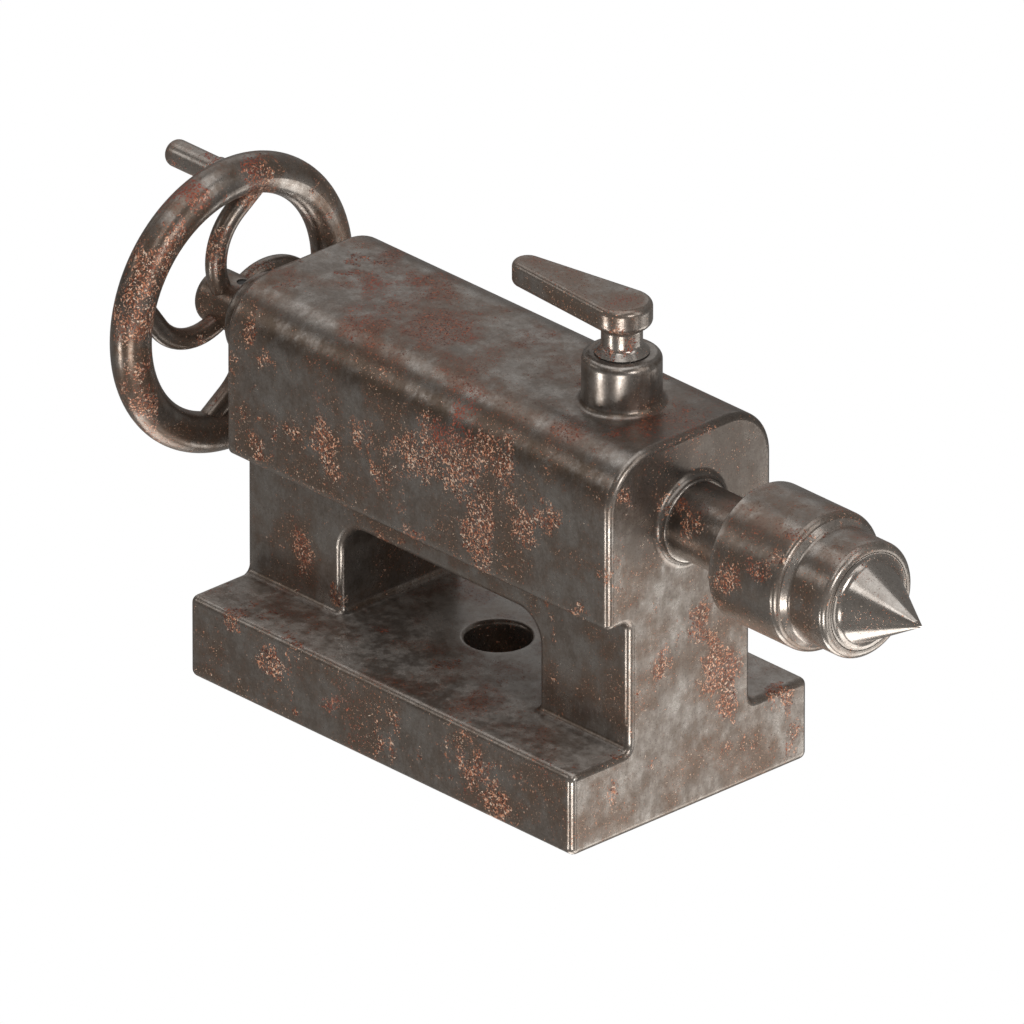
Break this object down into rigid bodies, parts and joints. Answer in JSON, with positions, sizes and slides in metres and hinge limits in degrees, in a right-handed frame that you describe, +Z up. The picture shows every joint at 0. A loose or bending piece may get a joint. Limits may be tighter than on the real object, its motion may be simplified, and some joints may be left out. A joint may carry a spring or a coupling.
{
  "type": "tailstock with live centre",
  "caption": "Machine tailstock with a sliding quill, a live centre turning on bearings in it, a handwheel leadscrew behind and a lever clamp on top.",
  "frame": {"origin": "on the base bolt hole's axis, at the underside of the base", "axes": "+Z up along the bolt hole's axis, +X along the spindle towards the centre's point, -Y the long side"},
  "size_m": [0.337, 0.1002, 0.1639],
  "materials": {
    "cast_iron_body": "worn dark cast iron with rust speckle and polished edges",
    "worn_wheel_iron": "hand-polished iron with rust speckle",
    "turned_steel": "turned steel, tarnished, with light rust",
    "ground_steel": "turned steel, tarnished, with light rust",
    "dark_steel": "black oxide",
    "bronze": "machined bronze",
    "cage_brass": "pressed brass",
    "bearing_steel": "ground and polished",
    "seal_rubber": "matt black"
  },
  "bodies": {
    "tailstock_body": {"body_casting": "cast_iron_body", "guide_screw": "dark_steel", "lock_screw": "dark_steel", "screw_bearing_housing": "cast_iron_body", "screw_bush": "bronze", "front_thrust_washer": "bronze", "rear_thrust_washer": "bronze"},
    "handwheel_and_screw": {"leadscrew": "turned_steel", "handwheel": "worn_wheel_iron", "handwheel_pin": "dark_steel", "handle_stem": "dark_steel", "handle_snap_ring": "dark_steel"},
    "crank_handle": {"crank_handle": "worn_wheel_iron"},
    "quill": {"quill": "turned_steel", "quill_nut": "bronze", "nut_pin": "dark_steel", "centre_body": "turned_steel", "centre_cap": "turned_steel", "nose_seal": "seal_rubber", "bearing_outer_ring": "bearing_steel", "thrust_fixed_washer": "bearing_steel", "needle_shell": "bearing_steel"},
    "centre_point": {"centre_point": "ground_steel", "bearing_inner_ring": "bearing_steel", "thrust_turning_washer": "bearing_steel", "bearing_snap_ring": "dark_steel"},
    "bearing_ball_set": {"bearing_balls": "bearing_steel", "bearing_cage": "cage_brass"},
    "thrust_ball_set": {"thrust_balls": "bearing_steel", "thrust_cage": "cage_brass"},
    "needle_set": {"needle_rollers": "bearing_steel"},
    "clamp_pad": {"clamp_pad": "bronze"},
    "clamp_lever": {"clamp_lever": "turned_steel", "clamp_screw": "turned_steel"}
  },
  "joints": [
    {"name": "handwheel_spin", "type": "hinge", "parent": "tailstock_body", "child": "handwheel_and_screw", "pos_m": [0, 0, 0.1], "axis": [1, 0, 0], "range_deg": [-2881, 3601]},
    {"name": "crank_handle_spin", "type": "hinge", "parent": "handwheel_and_screw", "child": "crank_handle", "pos_m": [-0.1205, 0, 0.1427], "axis": [1, 0, 0], "continuous": true},
    {"name": "quill_slide", "type": "slide", "parent": "tailstock_body", "child": "quill", "axis": [1, 0, 0], "range_m": [-0.024, 0.03]},
    {"name": "centre_spin", "type": "hinge", "parent": "quill", "child": "centre_point", "pos_m": [0, 0, 0.1], "axis": [1, 0, 0], "continuous": true},
    {"name": "bearing_balls_orbit", "type": "hinge", "parent": "quill", "child": "bearing_ball_set", "pos_m": [0, 0, 0.1], "axis": [1, 0, 0], "continuous": true},
    {"name": "thrust_balls_orbit", "type": "hinge", "parent": "quill", "child": "thrust_ball_set", "pos_m": [0, 0, 0.1], "axis": [1, 0, 0], "continuous": true},
    {"name": "needles_orbit", "type": "hinge", "parent": "quill", "child": "needle_set", "pos_m": [0, 0, 0.1], "axis": [1, 0, 0], "continuous": true},
    {"name": "clamp_pad_feed", "type": "slide", "parent": "tailstock_body", "child": "clamp_pad", "axis": [0, 0, 1], "range_m": [-0.0001875, 0.000375]},
    {"name": "clamp_lever_swing", "type": "hinge", "parent": "clamp_pad", "child": "clamp_lever", "pos_m": [0.0555, 0, 0.1], "axis": [0, 0, 1], "range_deg": [-45.1, 90.1]}
  ],
  "couplings": [
    {"joint": "handwheel_spin", "follows": "quill_slide", "rad_per_m": 2094.4},
    {"joint": "bearing_balls_orbit", "follows": "centre_spin", "ratio": 0.41},
    {"joint": "thrust_balls_orbit", "follows": "centre_spin", "ratio": 0.5},
    {"joint": "needles_orbit", "follows": "centre_spin", "ratio": 0.42},
    {"joint": "clamp_lever_swing", "follows": "clamp_pad_feed", "rad_per_m": 4188.8}
  ]
}
